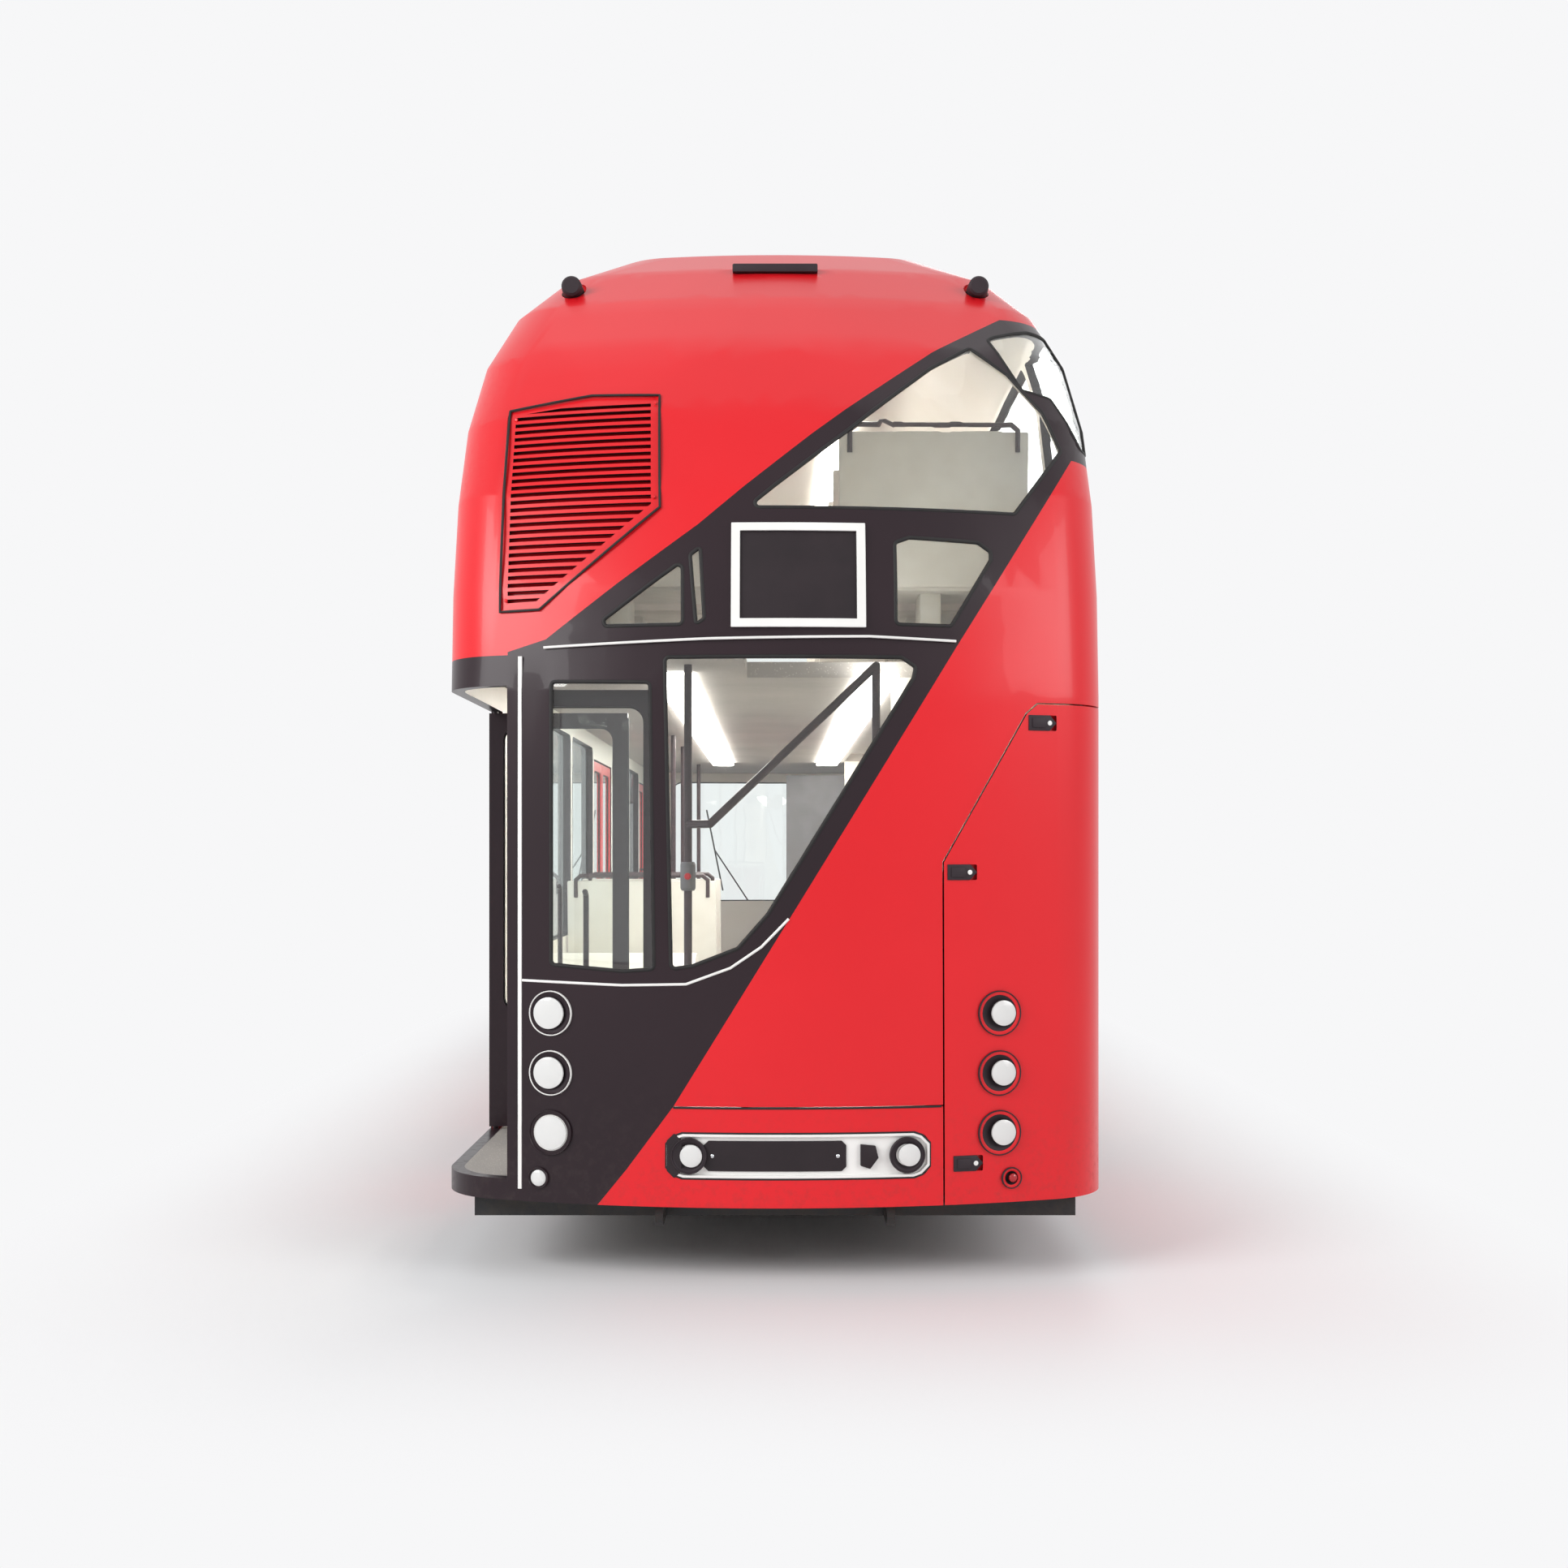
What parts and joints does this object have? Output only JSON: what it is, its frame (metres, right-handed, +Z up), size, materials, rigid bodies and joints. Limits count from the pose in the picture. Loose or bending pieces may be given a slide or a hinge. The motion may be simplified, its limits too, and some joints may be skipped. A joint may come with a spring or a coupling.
{
  "type": "double decker bus",
  "caption": "Full-size double decker city bus with an open rear platform, a slanting glazed band across its tail, hinged doors, steered front wheels and twin rear wheels.",
  "frame": {"origin": "on the ground under the middle of the bus, between its nose and its tail", "axes": "+X towards the side without doors (offside), +Y towards the nose, +Z up"},
  "size_m": [3.03, 11.23, 4.39],
  "materials": {
    "red_paint": "gloss",
    "dark_paint": "gloss",
    "window_glass": "gloss",
    "floor": "satin",
    "grille": "satin",
    "lamp": "gloss",
    "clear_lamp": "gloss",
    "tray": "satin",
    "route_blind": "satin",
    "moulding": "satin",
    "inner_panel": "satin",
    "seat": "matte",
    "rail": "satin",
    "steel": "satin",
    "iron": "satin",
    "tyre": "matte",
    "rim": "satin"
  },
  "bodies": {
    "bus": {"roof_panel": "red_paint", "rear_panel": "red_paint", "rear_bumper": "red_paint", "rear_frame": "dark_paint", "front_panels": "red_paint", "front_frames": "dark_paint", "side_panels_nearside": "red_paint", "side_panels_offside": "red_paint", "side_frames_nearside": "dark_paint", "side_frames_offside": "dark_paint", "floor_lower": "floor", "floor_upper": "floor", "windows_rear": "window_glass", "windscreens": "window_glass", "windows_nearside": "window_glass", "windows_offside": "window_glass", "rear_grille": "grille", "route_boxes": "route_blind", "plate_tray": "tray", "rear_lamps": "lamp", "front_lamps": "clear_lamp", "mirrors": "moulding", "wheel_boxes": "moulding", "staircases": "inner_panel", "seats": "seat", "handrails": "rail", "stair_rail": "rail", "driver_cab": "moulding", "engine_block": "iron", "engine_housing": "inner_panel", "underframe": "steel", "rear_axle": "iron", "front_axle": "iron"},
    "knuckle_left": {"knuckle_left": "iron"},
    "wheel_front_left": {"tyre_front_left": "tyre", "rim_front_left": "rim"},
    "wheels_rear_left": {"tyres_rear_left": "tyre", "rims_rear_left": "rim"},
    "knuckle_right": {"knuckle_right": "iron"},
    "wheel_front_right": {"tyre_front_right": "tyre", "rim_front_right": "rim"},
    "wheels_rear_right": {"tyres_rear_right": "tyre", "rims_rear_right": "rim"},
    "leaf_centre_rear": {"leaf_centre_rear": "red_paint", "leaf_glass_centre_rear": "window_glass"},
    "leaf_centre_front": {"leaf_centre_front": "red_paint", "leaf_glass_centre_front": "window_glass"},
    "leaf_front_rear": {"leaf_front_rear": "red_paint", "leaf_glass_front_rear": "window_glass"},
    "leaf_front_front": {"leaf_front_front": "red_paint", "leaf_glass_front_front": "window_glass"},
    "leaf_platform_front": {"leaf_platform_front": "dark_paint", "leaf_glass_platform_front": "window_glass"},
    "leaf_platform_rear": {"leaf_platform_rear": "dark_paint", "leaf_glass_platform_rear": "window_glass"},
    "engine_door": {"engine_door": "red_paint", "engine_door_lamps": "lamp"}
  },
  "joints": [
    {"name": "steer_left", "type": "hinge", "parent": "bus", "child": "knuckle_left", "pos_m": [-0.925, 2.945, 0.479], "axis": [0, 0, 1], "range_deg": [-40, 40]},
    {"name": "spin_front_left", "type": "hinge", "parent": "knuckle_left", "child": "wheel_front_left", "pos_m": [-1.095, 2.945, 0.479], "axis": [1, 0, 0], "continuous": true},
    {"name": "spin_rear_left", "type": "hinge", "parent": "bus", "child": "wheels_rear_left", "pos_m": [-0.93, -2.555, 0.479], "axis": [1, 0, 0], "continuous": true},
    {"name": "steer_right", "type": "hinge", "parent": "bus", "child": "knuckle_right", "pos_m": [0.925, 2.945, 0.479], "axis": [0, 0, 1], "range_deg": [-40, 40]},
    {"name": "spin_front_right", "type": "hinge", "parent": "knuckle_right", "child": "wheel_front_right", "pos_m": [1.095, 2.945, 0.479], "axis": [1, 0, 0], "continuous": true},
    {"name": "spin_rear_right", "type": "hinge", "parent": "bus", "child": "wheels_rear_right", "pos_m": [0.93, -2.555, 0.479], "axis": [1, 0, 0], "continuous": true},
    {"name": "swing_centre_rear", "type": "hinge", "parent": "bus", "child": "leaf_centre_rear", "pos_m": [-1.235, -0.182, 1.3], "axis": [0, 0, -1], "range_deg": [0, 90]},
    {"name": "swing_centre_front", "type": "hinge", "parent": "bus", "child": "leaf_centre_front", "pos_m": [-1.235, 1.002, 1.3], "axis": [0, 0, 1], "range_deg": [0, 90]},
    {"name": "swing_front_rear", "type": "hinge", "parent": "bus", "child": "leaf_front_rear", "pos_m": [-1.235, 3.758, 1.3], "axis": [0, 0, -1], "range_deg": [0, 90]},
    {"name": "swing_front_front", "type": "hinge", "parent": "bus", "child": "leaf_front_front", "pos_m": [-1.235, 4.942, 1.3], "axis": [0, 0, 1], "range_deg": [0, 90]},
    {"name": "swing_platform_front", "type": "hinge", "parent": "bus", "child": "leaf_platform_front", "pos_m": [-1.235, -4.238, 1.3], "axis": [0, 0, -1], "range_deg": [0, 90]},
    {"name": "swing_platform_rear", "type": "hinge", "parent": "bus", "child": "leaf_platform_rear", "pos_m": [-0.985, -5.362, 1.3], "axis": [0, 0, 1], "range_deg": [0, 110]},
    {"name": "swing_engine_door", "type": "hinge", "parent": "bus", "child": "engine_door", "pos_m": [1.26, -4.8, 1.3], "axis": [0, 0, 1], "range_deg": [0, 110]}
  ],
  "couplings": [
    {"joint": "steer_right", "follows": "steer_left", "ratio": 1}
  ]
}
